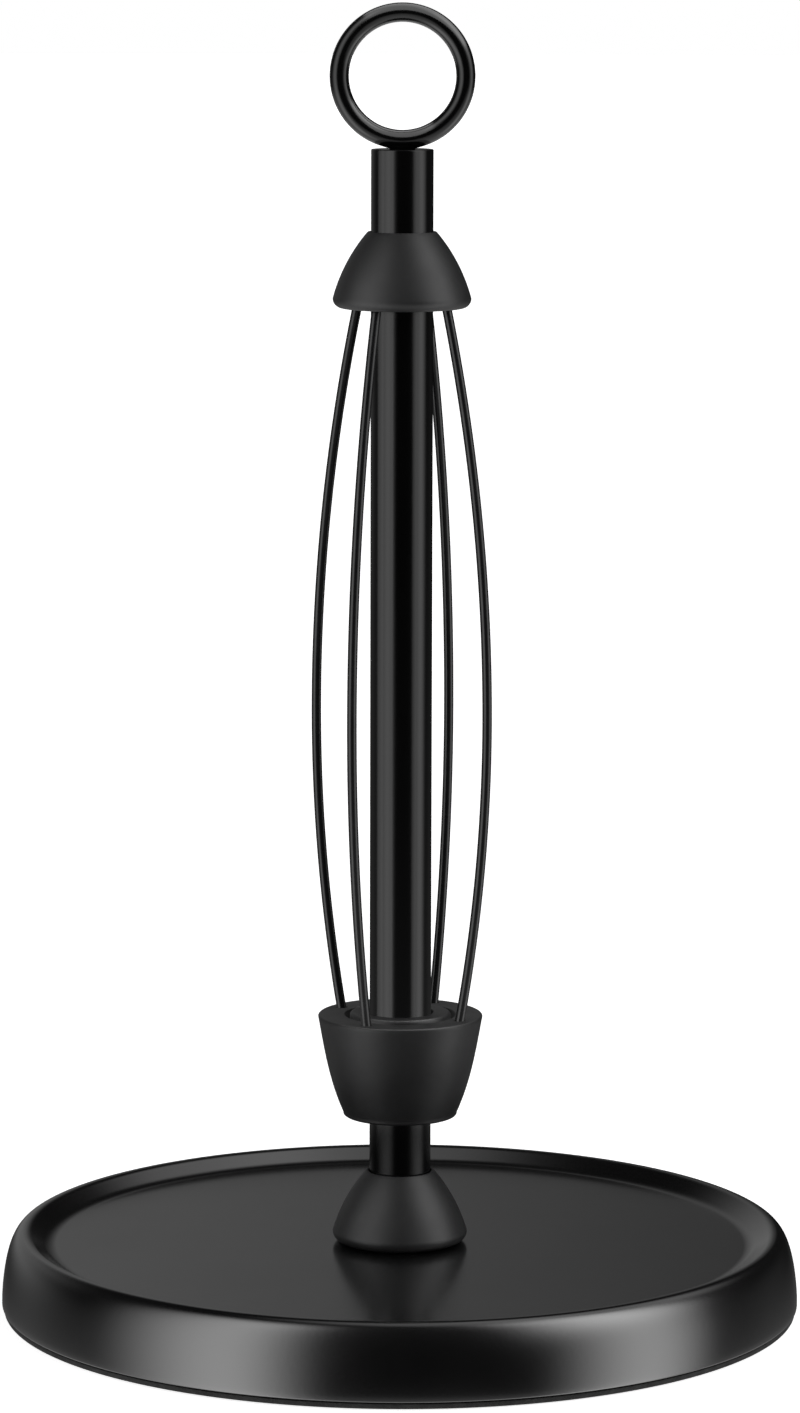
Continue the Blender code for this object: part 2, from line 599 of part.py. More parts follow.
def spring_wires(cage):
    """Four bowed wires, straight at both ends where they stand in their sockets."""
    low_bend, high_bend = CUP_TOP - WIRE_BEND_DEPTH, RETAINER_BOTTOM + WIRE_BEND_DEPTH
    steps = 22
    for number in range(WIRE_COUNT):
        heights = [low_bend + (high_bend - low_bend) * i / steps for i in range(steps + 1)]
        path = [(bow_radius(low_bend), WIRE_BOTTOM)]
        path += [(bow_radius(height), height) for height in heights]
        path += [(bow_radius(high_bend), WIRE_TOP)]
        angle = WIRE_AZIMUTH + tau * number / WIRE_COUNT
        name = f"spring_wire_{number + 1}"
        curve = bpy.data.curves.new(name, "CURVE")
        curve.dimensions = "3D"
        curve.bevel_depth = WIRE_RADIUS
        curve.bevel_resolution = 2
        curve.use_fill_caps = True
        spline = curve.splines.new("POLY")
        spline.points.add(len(path) - 1)
        for point, (radius, height) in zip(spline.points, path):
            point.co = (*polar(radius, angle), height, 1.0)
        add_object(name, curve, cage, BLACK_WIRE)


# ---------------------------------------------------------------- floating top collar
def top_collar(collar):
    """Bell that rides up the post as the wires are squeezed flat."""
    bore, wire_well = 0.0079, 0.0137
    ledge, ceiling = RETAINER_TOP + GAP, WIRE_TOP + GAP
    bush_well, bush_ceiling = BUSH_RADIUS + GAP, BUSH_TOP + GAP
    disc_well, disc_mouth = RETAINER_RADIUS + GAP, COLLAR_BOTTOM + 0.0001
    outline = (bell_side(COLLAR_LIP_RADIUS, COLLAR_BOTTOM, COLLAR_TOP, 7)
               + [(bore, COLLAR_TOP), (bore, bush_ceiling), (bush_well, bush_ceiling),
                  (bush_well, ceiling), (wire_well, ceiling), (wire_well, ledge),
                  (disc_well, ledge), (disc_well, disc_mouth)])
    turned_piece("top_collar", outline, ROUND_MEDIUM, collar, SOFT_TOUCH)


def wire_retainer(collar):
    """Disc with four sockets, pressed into the bell from below."""
    overshoot = 0.001
    outline = sleeve(BUSH_RADIUS + GAP, RETAINER_RADIUS, RETAINER_BOTTOM, RETAINER_TOP)
    retainer = turned_piece("wire_retainer", outline, ROUND_MEDIUM, collar, SOFT_TOUCH)
    drill(retainer, "retainer_socket", wire_places(bow_radius(RETAINER_BOTTOM + WIRE_BEND_DEPTH)),
          rod(SOCKET_RADIUS, RETAINER_BOTTOM - overshoot, RETAINER_TOP + overshoot))


def collar_bush(collar):
    """Nylon sleeve that slides and turns on the post."""
    outline = sleeve(POST_RADIUS + GAP, BUSH_RADIUS, RETAINER_BOTTOM + GAP, BUSH_TOP)
    turned_piece("collar_bush", outline, ROUND_SMALL, collar, NYLON)


# ---------------------------------------------------------------- assembly
def clear_scene():
    for item in list(bpy.data.objects):
        bpy.data.objects.remove(item, do_unlink=True)


def build():
    clear_scene()
    stand = body_empty("stand_frame", (0.0, 0.0, 0.0))
    for make in (base_cover, base_weight, base_plate, base_screws, non_slip_pad, post_bolt,
                 bolt_washers, post_inserts, post_tube, post_foot, ring_finial, ratchet_hub,
                 hub_fixings, pawl_springs):
        make(stand)
    for number in range(PAWL_COUNT):
        pawl(number)
    cage = body_empty("cage_axis", (0.0, 0.0, CUP_WEB_BOTTOM))
    for make in (lower_cup, ratchet_ring, spring_wires):
        make(cage)
    collar = body_empty("collar_axis", (0.0, 0.0, COLLAR_BOTTOM))
    for make in (top_collar, wire_retainer, collar_bush):
        make(collar)


build()
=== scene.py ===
"""Paper towel holder: finished surfaces, materials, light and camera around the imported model.

Everything is in metres in the model's own frame: the post stands on the Z axis, the table is z = 0
and the front is -Y.
"""
import json
from math import cos, pi, radians, sin, sqrt, tau

import bmesh
import bpy
from mathutils import Matrix, Vector


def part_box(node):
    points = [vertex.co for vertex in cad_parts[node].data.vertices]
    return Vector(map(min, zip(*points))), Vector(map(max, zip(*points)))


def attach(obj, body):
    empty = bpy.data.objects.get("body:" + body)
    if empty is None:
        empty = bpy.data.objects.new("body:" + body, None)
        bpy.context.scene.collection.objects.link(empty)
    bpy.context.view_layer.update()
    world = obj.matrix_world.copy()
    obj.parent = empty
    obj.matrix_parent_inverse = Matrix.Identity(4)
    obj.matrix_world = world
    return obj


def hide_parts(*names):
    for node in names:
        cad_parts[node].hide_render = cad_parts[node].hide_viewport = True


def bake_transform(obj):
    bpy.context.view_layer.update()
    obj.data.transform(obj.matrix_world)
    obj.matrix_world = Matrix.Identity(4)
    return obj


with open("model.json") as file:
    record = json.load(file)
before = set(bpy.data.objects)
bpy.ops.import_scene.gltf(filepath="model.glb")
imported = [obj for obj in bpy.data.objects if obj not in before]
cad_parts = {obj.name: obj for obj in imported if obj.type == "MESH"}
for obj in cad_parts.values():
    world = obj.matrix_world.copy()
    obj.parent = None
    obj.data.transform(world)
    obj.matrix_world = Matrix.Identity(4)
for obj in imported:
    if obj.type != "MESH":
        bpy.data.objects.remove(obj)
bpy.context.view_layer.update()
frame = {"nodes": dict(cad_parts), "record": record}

# ---------------------------------------------------------------- sizes, from the frame
def bottom(node):
    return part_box(node)[0].z


def top(node):
    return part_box(node)[1].z


def radius_of(node):
    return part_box(node)[1].x


GAP = 0.0003                      # clearance between pieces that touch

BASE_RADIUS = radius_of("base_cover")
BASE_BOTTOM = bottom("base_cover")
BASE_RIM_HEIGHT = top("base_cover")
BASE_RIM_RADIUS = 0.09223         # where the outer shoulder levels out at the crest of the rim
BASE_SLOPE_TOP = 0.09107          # corners of the slope inside the rim, before rounding
BASE_SLOPE_FOOT = 0.08604
BASE_FLOOR_HEIGHT = bottom("post_foot") - GAP
BASE_SHEET = 0.0012
BASE_HOLE_RADIUS = 0.0034         # for the bolt

POST_RADIUS = radius_of("post_tube")
POST_WALL = 0.0012
POST_TOP = top("post_tube")

RING_WIRE_RADIUS = 0.00232
RING_CENTRE = top("ring_finial") - radius_of("ring_finial")
RING_RADIUS = radius_of("ring_finial") - RING_WIRE_RADIUS
NECK_LENGTH = 0.00385             # half length, then half thickness, of the neck under the ring
NECK_THICKNESS = 0.0019

BELL_TOP_RADIUS = 0.00854
BELL_SIDE_ARC = 0.0407
BELL_LIP_FILLET = 0.0023
BELL_TOP_BREAK = 0.0003

CUP_TOP_RADIUS = radius_of("lower_cup")
CUP_BOTTOM = bottom("lower_cup")
CUP_TOP = top("lower_cup")
CUP_CAVITY_RADIUS = 0.0135

WIRE_RADIUS = 0.00118
WIRE_COUNT = 4
WIRE_AZIMUTH = -radians(29.56)    # first wire, to the front right
BOW_RADIUS = 0.02383              # widest point of the wire cage
BOW_HEIGHT = 0.1465
BOW_CURVE_LOW = 1.327             # steepness of the bow's parabola, per metre, below BOW_HEIGHT
BOW_CURVE_HIGH = 1.165            # and above it
WIRE_BEND_DEPTH = 0.0006          # how far inside the cup and the disc the wires turn upright
WIRE_END_BREAK = 0.0003           # chamfer on a wire's cut ends
SOCKET_RADIUS = WIRE_RADIUS + GAP
DRILL_OVERSHOOT = 0.001           # how far a cutter runs past the face it opens

EDGE_BREAK = 0.0002               # small rounding on the edges of turned pieces

FINE = 224                        # sides of the base and its pad
CUP_SIDES = 192
SMOOTH = 128                      # sides of the other turned pieces

CAMERA_PLACE = (-0.00025, -1.33249, 0.34004)
CAMERA_TILT = 8.165               # degrees below the horizon
CAMERA_ROLL = 0.1375              # degrees
CAMERA_LENS = 141.3               # millimetres, on a sensor 36 mm wide


# ---------------------------------------------------------------- outlines
def polar(radius, angle):
    return (radius * cos(angle), radius * sin(angle))


def arc(centre, radius, start, end, steps):
    """Points along a circular arc, with the angles in degrees."""
    angles = [radians(start + (end - start) * i / steps) for i in range(steps + 1)]
    return [(centre[0] + radius * cos(a), centre[1] + radius * sin(a)) for a in angles]


def bezier(p0, p1, p2, p3, steps):
    """Points along a cubic Bezier curve, both ends included."""
    points = []
    for i in range(steps + 1):
        t = i / steps
        weights = ((1 - t) ** 3, 3 * t * (1 - t) ** 2, 3 * t * t * (1 - t), t ** 3)
        points.append(tuple(sum(w * p[axis] for w, p in zip(weights, (p0, p1, p2, p3)))
                            for axis in (0, 1)))
    return points


def round_corner(before, corner, after, fillet, steps):
    """Arc that rounds one corner of an outline."""
    if fillet == 0.0:
        return [corner]
    corner = Vector(corner)
    back = (Vector(before) - corner).normalized()
    ahead = (Vector(after) - corner).normalized()
    half = back.angle(ahead) / 2
    reach = fillet * cos(half) / sin(half)
    centre = corner + (back + ahead).normalized() * fillet / sin(half)
    first = corner + back * reach - centre
    swing = first.angle_signed(corner + ahead * reach - centre)
    return [tuple(centre + Matrix.Rotation(-swing * step / steps, 2) @ first)
            for step in range(steps + 1)]


def rounded(corners, steps=5):
    """Closed outline through (radius, height, fillet) corners, each rounded by its fillet."""
    points = []
    for i, (x, y, fillet) in enumerate(corners):
        points += round_corner(corners[i - 1][:2], (x, y), corners[(i + 1) % len(corners)][:2],
                               fillet, steps)
    return points


def offset_line(points, distance):
    """Shift an open line sideways, to its left, by a distance."""
    shifted = []
    for i, point in enumerate(points):
        before = Vector(points[max(i - 1, 0)])
        after = Vector(points[min(i + 1, len(points) - 1)])
        along = (after - before).normalized()
        shifted.append((point[0] - along.y * distance, point[1] + along.x * distance))
    return shifted


def bell_side(lip_radius, low, high, steps=32):
    """Outer line of a bell: rounded lip, then one long convex arc up to its small top."""
    lip = arc((lip_radius - BELL_LIP_FILLET, low + BELL_LIP_FILLET), BELL_LIP_FILLET, -90, 0, 10)
    start, end = Vector(lip[-1]), Vector((BELL_TOP_RADIUS, high))
    chord = end - start
    reach = sqrt(BELL_SIDE_ARC ** 2 - (chord.length / 2) ** 2)
    centre = (start + end) / 2 + Vector((-chord.y, chord.x)).normalized() * reach
    first = (start - centre).angle_signed(Vector((1, 0)))
    last = (end - centre).angle_signed(Vector((1, 0)))
    side = [(centre.x + BELL_SIDE_ARC * cos(first + (last - first) * i / steps),
             centre.y + BELL_SIDE_ARC * sin(first + (last - first) * i / steps))
            for i in range(1, steps + 1)]
    return lip + side


def bow_radius(height):
    """Distance of the cage wires' centrelines from the post's axis."""
    curve = BOW_CURVE_HIGH if height > BOW_HEIGHT else BOW_CURVE_LOW
    return BOW_RADIUS - curve * (height - BOW_HEIGHT) ** 2


# ---------------------------------------------------------------- meshes
def mesh_from(bm, name, crease=38):
    bmesh.ops.recalc_face_normals(bm, faces=bm.faces)
    mesh = bpy.data.meshes.new(name)
    bm.to_mesh(mesh)
    bm.free()
    mesh.shade_smooth()
    mesh.set_sharp_from_angle(angle=radians(crease))
    return mesh


def add_object(name, data):
    """Put new mesh, light or camera data in the scene."""
    piece = bpy.data.objects.new(name, data)
    bpy.context.scene.collection.objects.link(piece)
    return piece


def turn(bm, outline, sides, centre=(0.0, 0.0)):
    """Spin a closed outline of (radius, height) points round a vertical axis."""
    x, y = centre
    points = [bm.verts.new((x + radius, y, height)) for radius, height in outline]
    edges = [bm.edges.new((points[i - 1], points[i])) for i in range(len(points))
             if max(outline[i - 1][0], outline[i][0]) > 0.0]
    bmesh.ops.spin(bm, geom=points + edges, cent=(x, y, 0.0), axis=(0.0, 0.0, 1.0),
                   angle=tau, steps=sides, use_merge=True)
    bmesh.ops.remove_doubles(bm, verts=bm.verts, dist=1e-7)


def turned_piece(name, outline, sides=SMOOTH):
    bm = bmesh.new()
    turn(bm, outline, sides)
    return add_object(name, mesh_from(bm, name))


def applied(piece, crease=38):
    """Turn a piece's modifiers into its mesh."""
    evaluated = piece.evaluated_get(bpy.context.evaluated_depsgraph_get())
    mesh = bpy.data.meshes.new_from_object(evaluated)
    mesh.shade_smooth()
    mesh.set_sharp_from_angle(angle=radians(crease))
    piece.modifiers.clear()
    piece.data = mesh


def drill(piece, places, outline, sides=32):
    """Cut the same turned hole at each (x, y) place."""
    bm = bmesh.new()
    for place in places:
        turn(bm, outline, sides, place)
    cutter = add_object("hole_cutter", mesh_from(bm, "hole_cutter"))
    modifier = piece.modifiers.new("holes", "BOOLEAN")
    modifier.operation = "DIFFERENCE"
    modifier.solver = "EXACT"
    modifier.object = cutter
    applied(piece)
    bpy.data.objects.remove(cutter, do_unlink=True)


def swept_rod(name, path, radius, sides=20):
    """Round rod along a path of (distance from the post, height) points, in one upright plane."""
    bm = bmesh.new()
    sections = []
    count = len(path)
    for i, (out, height) in enumerate(path):
        before, after = path[max(i - 1, 0)], path[min(i + 1, count - 1)]
        along = Vector((after[0] - before[0], after[1] - before[1])).normalized()
        normal = Vector((along.y, -along.x))
        size = radius - (WIRE_END_BREAK if i in (0, count - 1) else 0.0)
        ring = []
        for k in range(sides):
            angle = tau * k / sides
            shift = normal * cos(angle) * size
            ring.append(bm.verts.new((out + shift.x, sin(angle) * size, height + shift.y)))
        sections.append(ring)
    for lower, upper in zip(sections, sections[1:]):
        for k in range(sides):
            bm.faces.new((lower[k - 1], lower[k], upper[k], upper[k - 1]))
    bm.faces.new(sections[0])
    bm.faces.new(sections[-1])
    return add_object(name, mesh_from(bm, name, crease=50))


def raised_piece(name, outline, low, high):
    """Raise a closed flat outline of (x, y) points from one height to another."""
    bm = bmesh.new()
    flat = bm.faces.new([bm.verts.new((x, y, low)) for x, y in outline])
    raised = bmesh.ops.extrude_face_region(bm, geom=[flat])["geom"]
    for vert in raised:
        if isinstance(vert, bmesh.types.BMVert):
            vert.co.z = high
    return add_object(name, mesh_from(bm, name))


# ---------------------------------------------------------------- materials
NOISE_ROUGHNESS = 0.55
NOISE_MIDDLE = (0.3, 0.7)         # where nearly all of a texture's values lie


class Finish:
    """A Principled material with helpers that add procedural detail in object space."""

    def __init__(self, name, colour, roughness, metallic=0.0, **sockets):
        self.material = bpy.data.materials.new(name)
        self.material.use_nodes = True
        self.nodes = self.material.node_tree.nodes
        self.links = self.material.node_tree.links
        self.shader = self.nodes["Principled BSDF"]
        self.place = self.nodes.new("ShaderNodeTexCoord").outputs["Object"]
        self.normal = None
        self.colour = colour
        self.shader.inputs["Base Color"].default_value = (*colour, 1.0)
        self.shader.inputs["Roughness"].default_value = roughness
        self.shader.inputs["Metallic"].default_value = metallic
        for socket, value in sockets.items():
            self.shader.inputs[socket.replace("_", " ")].default_value = value

    def noise(self, scale, detail, stretch=None):
        """Fractal noise, its scale in cells per metre, stretched along an axis if asked."""
        texture = self.nodes.new("ShaderNodeTexNoise")
        texture.inputs["Scale"].default_value = scale
        texture.inputs["Detail"].default_value = detail
        texture.inputs["Roughness"].default_value = NOISE_ROUGHNESS
        source = self.place
        if stretch is not None:
            mapping = self.nodes.new("ShaderNodeMapping")
            mapping.inputs["Scale"].default_value = stretch
            self.links.new(self.place, mapping.inputs["Vector"])
            source = mapping.outputs["Vector"]
        self.links.new(source, texture.inputs["Vector"])
        return texture.outputs["Fac"]

    def cells(self, scale):
        """Rounded cells, as in foam or a grained mould."""
        texture = self.nodes.new("ShaderNodeTexVoronoi")
        texture.inputs["Scale"].default_value = scale
        self.links.new(self.place, texture.inputs["Vector"])
        return texture.outputs["Distance"]

    def spread(self, value, low, high):
        """Map a texture's middle values to a range."""
        node = self.nodes.new("ShaderNodeMapRange")
        node.inputs["From Min"].default_value = NOISE_MIDDLE[0]
        node.inputs["From Max"].default_value = NOISE_MIDDLE[1]
        node.inputs["To Min"].default_value = low
        node.inputs["To Max"].default_value = high
        self.links.new(value, node.inputs["Value"])
        return node.outputs["Result"]

    def tint(self, value, colour, amount=1.0):
        """Drift the base colour towards another one where the texture is high."""
        mix = self.nodes.new("ShaderNodeMix")
        mix.data_type = "RGBA"
        mix.inputs["A"].default_value = (*self.colour, 1.0)
        mix.inputs["B"].default_value = (*colour, 1.0)
        self.links.new(self.spread(value, 0.0, amount), mix.inputs["Factor"])
        self.links.new(mix.outputs["Result"], self.shader.inputs["Base Color"])

    def polish(self, value, low, high):
        """Vary the roughness between two values."""
        self.links.new(self.spread(value, low, high), self.shader.inputs["Roughness"])

    def bump(self, value, height):
        """Add relief of a height in metres, on top of any relief already there."""
        node = self.nodes.new("ShaderNodeBump")
        node.inputs["Strength"].default_value = 1.0
        node.inputs["Distance"].default_value = height
        self.links.new(value, node.inputs["Height"])
        if self.normal is not None:
            self.links.new(self.normal, node.inputs["Normal"])
        self.normal = node.outputs["Normal"]
        self.links.new(self.normal, self.shader.inputs["Normal"])


def satin_paint():
    """Powder coat on the pressed base: satin, with a very faint orange peel."""
    look = Finish("satin_powder_coat", (0.0020, 0.0020, 0.0022), 0.24, Specular_IOR_Level=1.0,
                  Coat_Weight=1.0, Coat_Roughness=0.15)
    look.tint(look.noise(60.0, 4.0), (0.0035, 0.0035, 0.0037))
    look.polish(look.noise(38.0, 5.0), 0.22, 0.26)
    look.bump(look.noise(900.0, 2.0), 0.000012)
    look.bump(look.noise(5200.0, 1.0), 0.0000020)
    return look.material


def gloss_enamel():
    """Stove enamel on the post and ring: glossy, drawn slightly along the tube."""
    look = Finish("gloss_enamel", (0.0015, 0.0015, 0.0016), 0.18, Specular_IOR_Level=0.40)
    look.tint(look.noise(45.0, 4.0, stretch=(1.0, 1.0, 0.25)), (0.0025, 0.0025, 0.0026))
    look.polish(look.noise(70.0, 5.0, stretch=(1.0, 1.0, 0.2)), 0.16, 0.21)
    look.bump(look.noise(650.0, 2.0, stretch=(1.0, 1.0, 0.35)), 0.000006)
    return look.material


def soft_touch():
    """Soft-touch moulded plastic with a fine spark-eroded grain."""
    look = Finish("soft_touch_plastic", (0.0135, 0.0135, 0.0140), 0.47)
    look.tint(look.noise(120.0, 5.0), (0.0190, 0.0190, 0.0195))
    look.polish(look.noise(90.0, 4.0), 0.43, 0.52)
    look.bump(look.noise(4200.0, 2.0), 0.000010)
    look.bump(look.cells(2600.0), 0.000004)
    return look.material


def wire_coating():
    """Dipped gloss coating on spring wire."""
    look = Finish("wire_coating", (0.0075, 0.0075, 0.0080), 0.24)
    look.tint(look.noise(150.0, 4.0), (0.0115, 0.0115, 0.0120))
    look.polish(look.noise(220.0, 4.0, stretch=(1.0, 1.0, 0.3)), 0.20, 0.30)
    look.bump(look.noise(1100.0, 2.0, stretch=(1.0, 1.0, 0.5)), 0.000006)
    return look.material


def foam_rubber():
    """Fine-celled foam rubber of the non-slip pad."""
    look = Finish("foam_rubber", (0.0110, 0.0110, 0.0110), 0.80)
    look.tint(look.noise(400.0, 3.0), (0.0220, 0.0220, 0.0215))
    look.polish(look.noise(250.0, 3.0), 0.72, 0.90)
    look.bump(look.cells(1500.0), 0.00012)
    look.bump(look.noise(3800.0, 2.0), 0.00003)
    return look.material


def iron_casting():
    """As-cast iron with a sandy skin and a little rust bloom."""
    look = Finish("iron_casting", (0.085, 0.084, 0.083), 0.72, metallic=0.85)
    look.tint(look.noise(35.0, 6.0), (0.115, 0.088, 0.072), 0.6)
    look.polish(look.noise(160.0, 5.0), 0.62, 0.85)
    look.bump(look.noise(700.0, 4.0), 0.00016)
    look.bump(look.cells(2100.0), 0.00006)
    return look.material


def zinc_steel():
    """Bright zinc plating on turned steel."""
    look = Finish("zinc_plated_steel", (0.56, 0.57, 0.59), 0.30, metallic=1.0)
    look.tint(look.noise(110.0, 4.0), (0.47, 0.49, 0.53), 0.8)
    look.polish(look.noise(320.0, 4.0, stretch=(1.0, 1.0, 6.0)), 0.24, 0.40)
    look.bump(look.noise(900.0, 2.0, stretch=(0.6, 0.6, 9.0)), 0.000008)
    return look.material


def moulded_nylon():
    """Natural nylon, slightly translucent, with faint flow marks."""
    look = Finish("moulded_nylon", (0.76, 0.75, 0.70), 0.42, Subsurface_Weight=0.15,
                  Subsurface_Scale=0.0015)
    look.tint(look.noise(85.0, 4.0), (0.69, 0.68, 0.61), 0.7)
    look.polish(look.noise(140.0, 3.0), 0.36, 0.50)
    look.bump(look.noise(1600.0, 3.0), 0.000015)
    return look.material


LOOKS = {"base_paint": satin_paint(), "gloss_paint": gloss_enamel(), "soft_touch": soft_touch(),
         "wire_coating": wire_coating(), "foam_rubber": foam_rubber(),
         "iron_casting": iron_casting(), "steel_hardware": zinc_steel(), "nylon": moulded_nylon()}


def dress(piece, body, slot, *nodes):
    """Give a new piece its body and its finish, and hide the CAD nodes that it stands for."""
    piece.data.materials.clear()
    piece.data.materials.append(LOOKS[slot])
    if body is not None:
        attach(piece, body)
    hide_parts(*nodes)
    return piece


# ---------------------------------------------------------------- base
def base_shell():
    """Pressed dish: hemmed edge, upright side, rounded shoulder, crest, slope and flat floor."""
    hem, side_top, side_pull, shoulder_pull = 0.0004, 0.0030, 0.0050, 0.0047
    crest_fillet, foot_fillet, hole_break, mid_floor = 0.0030, 0.0056, 0.0003, 0.05
    floor, crest = BASE_FLOOR_HEIGHT, (BASE_RIM_RADIUS, BASE_RIM_HEIGHT)
    slope_top, slope_foot = (BASE_SLOPE_TOP, BASE_RIM_HEIGHT), (BASE_SLOPE_FOOT, floor)
    edge = arc((BASE_RADIUS - hem, BASE_BOTTOM + hem), hem, -90, 0, 5)
    skin = (bezier((BASE_RADIUS, side_top), (BASE_RADIUS, side_pull),
                   (BASE_RIM_RADIUS + shoulder_pull, BASE_RIM_HEIGHT), crest, 40)
            + round_corner(crest, slope_top, slope_foot, crest_fillet, 16)
            + round_corner(slope_top, slope_foot, (BASE_HOLE_RADIUS, floor), foot_fillet, 16))
    inside = offset_line(skin, BASE_SHEET)
    outline = (edge + skin
               + [(mid_floor, floor), (BASE_HOLE_RADIUS + hole_break, floor),
                  (BASE_HOLE_RADIUS, floor - hole_break), (BASE_HOLE_RADIUS, floor - BASE_SHEET)]
               + list(reversed(inside)) + [(BASE_RADIUS - BASE_SHEET, BASE_BOTTOM)])
    dress(turned_piece("base_shell", outline, FINE), "stand", "base_paint", "base_cover")


def non_slip_disc():
    """Foam pad with a softened lower edge, open in the middle for the bolt."""
    inner, outer, high = 0.014, radius_of("non_slip_pad"), top("non_slip_pad")
    outline = rounded([(inner, 0.0, EDGE_BREAK), (outer, 0.0, 2 * EDGE_BREAK),
                       (outer, high, EDGE_BREAK), (inner, high, EDGE_BREAK)])
    dress(turned_piece("non_slip_disc", outline, FINE), "stand", "foam_rubber", "non_slip_pad")


# ---------------------------------------------------------------- post and its bells
def post():
    """Enamelled tube with a small break on its top edge, and the plug that closes it."""
    low, inner = bottom("post_tube"), POST_RADIUS - POST_WALL
    top_break, thin_break = 0.00025, 0.0001
    tube = rounded([(inner, low, EDGE_BREAK), (POST_RADIUS, low, EDGE_BREAK),
                    (POST_RADIUS, POST_TOP, top_break), (inner, POST_TOP, thin_break)])
    dress(turned_piece("post_sleeve", tube), "stand", "gloss_paint", "post_tube")
    plug_low, plug_radius, bore = bottom("post_top_plug"), radius_of("post_top_plug"), 0.0033
    plug_top = POST_TOP - thin_break
    plug = rounded([(bore, plug_low, 0.0), (plug_radius, plug_low, 2 * EDGE_BREAK),
                    (plug_radius, plug_top, thin_break), (bore, plug_top, 0.0)])
    dress(turned_piece("post_end_plug", plug), "stand", "gloss_paint", "post_top_plug")


def foot_bell():
    """Bell over the foot of the post, hollow underneath."""
    low, high, bore = bottom("post_foot"), top("post_foot"), POST_RADIUS + GAP
    hollow_radius, hollow_shoulder, hollow_neck, hollow_top = 0.0138, 0.0205, 0.0092, 0.0295
    outline = (bell_side(radius_of("post_foot"), low, high - BELL_TOP_BREAK)
               + [(BELL_TOP_RADIUS - BELL_TOP_BREAK, high), (bore, high), (bore, hollow_top),
                  (hollow_neck, hollow_top), (hollow_radius, hollow_shoulder),
                  (hollow_radius, low)])
    dress(turned_piece("foot_bell", outline), "stand", "soft_touch", "post_foot")


def finger_ring():
    """Ring, neck and stud melted into one casting, with a soft fillet where they meet."""
    ring_sides, section_sides, neck_sides = 160, 32, 64
    bm = bmesh.new()
    turn(bm, arc((RING_RADIUS, 0.0), RING_WIRE_RADIUS, 0, 360 - 360 / section_sides,
                 section_sides - 1), ring_sides)
    for vert in bm.verts:
        vert.co = (vert.co.x, -vert.co.z, RING_CENTRE + vert.co.y)
    ring = add_object("finger_ring", mesh_from(bm, "finger_ring"))
    seat, stud_end, stud_radius, stud_break = POST_TOP + GAP, bottom("ring_finial"), 0.0030, 0.0004
    neck_top, neck_top_radius, flare = RING_CENTRE - RING_RADIUS, 0.0024, 0.0003
    bm = bmesh.new()
    turn(bm, [(0.0, stud_end), (stud_radius - stud_break, stud_end),
              (stud_radius, stud_end + stud_break), (stud_radius, seat), (NECK_LENGTH, seat),
              (NECK_LENGTH * 0.98, seat + flare), (NECK_LENGTH * 0.92, seat + 2 * flare),
              (neck_top_radius, neck_top), (0.0, neck_top)], neck_sides)
    for vert in bm.verts:
        if vert.co.z > seat - GAP:
            vert.co.y *= NECK_THICKNESS / NECK_LENGTH
    neck = add_object("neck", mesh_from(bm, "neck"))
    join = ring.modifiers.new("join", "BOOLEAN")
    join.operation = "UNION"
    join.object = neck
    melt = ring.modifiers.new("melt", "REMESH")
    melt.mode = "VOXEL"
    melt.voxel_size = 0.00016
    soften = ring.modifiers.new("soften", "SMOOTH")
    soften.factor = 0.5
    soften.iterations = 12
    applied(ring, crease=180)
    bpy.data.objects.remove(neck, do_unlink=True)
    dress(ring, "stand", "gloss_paint", "ring_finial")


def hub_rim():
    """Cap over the ratchet hub: the ring seen inside the cup."""
    low, high, outer = bottom("hub_cap"), top("hub_cap"), radius_of("hub_cap")
    clearance, outer_fillet, inner_fillet = 0.00055, 0.0009, 0.0003
    inner = POST_RADIUS + clearance
    outline = rounded([(inner, low, 0.0), (outer, low, EDGE_BREAK), (outer, high, outer_fillet),
                       (inner, high, inner_fillet)], 8)
    rim = dress(turned_piece("hub_rim", outline), "stand", "soft_touch", "hub_cap")
    rim.visible_glossy = False


def leaf_springs():
    """Steel strips that lie on the hub's core, with a free end that gives way under each pawl."""
    seat_radius, lift, thickness, steps = 0.0090, 0.00085, 0.0002, 32
    seat_angle, free_angle = 56.0, 24.0
    for number, pawl in enumerate(("pawl_1", "pawl_2")):
        node = f"pawl_spring_{number + 1}"
        low, high = bottom(node), top(node)
        line = []
        for i in range(steps + 1):
            t = i / steps
            angle = radians(180.0 * number + seat_angle + (free_angle - seat_angle) * t)
            line.append(polar(seat_radius + lift * t * t, angle))
        outline = line + list(reversed(offset_line(line, thickness)))
        spring = raised_piece(f"leaf_spring_{number + 1}", outline, low, high)
        dress(spring, None, "steel_hardware", node)
        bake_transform(spring)


# ---------------------------------------------------------------- turning cage
def wire_places(radius):
    """The four wires' places on a circle."""
    return [polar(radius, WIRE_AZIMUTH + tau * n / WIRE_COUNT) for n in range(WIRE_COUNT)]


def socket(low, high):
    """Outline of the hole that a wire's end stands in."""
    return [(0.0, low), (SOCKET_RADIUS, low), (SOCKET_RADIUS, high), (0.0, high)]


